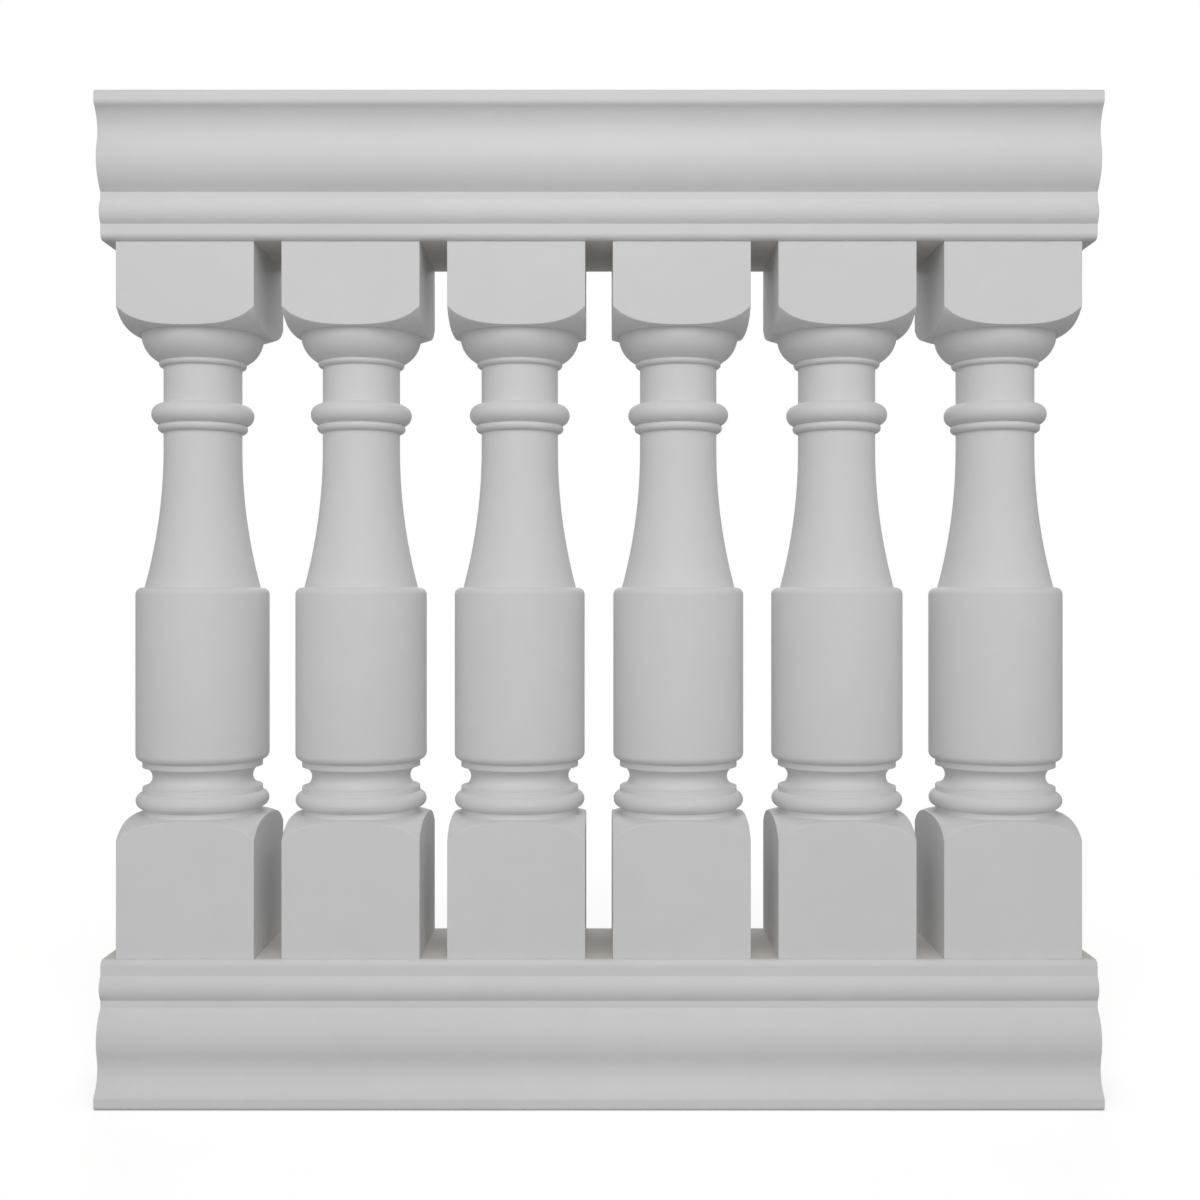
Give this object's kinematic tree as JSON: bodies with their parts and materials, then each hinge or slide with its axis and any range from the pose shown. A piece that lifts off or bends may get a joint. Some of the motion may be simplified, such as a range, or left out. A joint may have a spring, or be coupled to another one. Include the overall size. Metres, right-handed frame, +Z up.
{
  "type": "deck railing section",
  "caption": "Balustrade section for a deck or porch: moulded top and bottom rails with a row of turned, square-ended balusters between them, held on steel pipes.",
  "frame": {"origin": "centre of the lower rail's underside, where it rests", "axes": "+X along the rails to the right as seen from the front, +Y from the front to the back, +Z up"},
  "size_m": [0.9144, 0.175, 0.924],
  "materials": {
    "primed_urethane": "factory primer, matt, ready for paint",
    "galvanised_steel": "galvanised, dull"
  },
  "bodies": {
    "root": {"bottom_rail": "primed_urethane", "top_rail": "primed_urethane", "baluster_1": "primed_urethane", "baluster_2": "primed_urethane", "baluster_3": "primed_urethane", "baluster_4": "primed_urethane", "baluster_5": "primed_urethane", "baluster_6": "primed_urethane", "pipe_1": "galvanised_steel", "pipe_2": "galvanised_steel", "pipe_3": "galvanised_steel", "pipe_4": "galvanised_steel", "pipe_5": "galvanised_steel", "pipe_6": "galvanised_steel"}
  },
  "joints": []
}
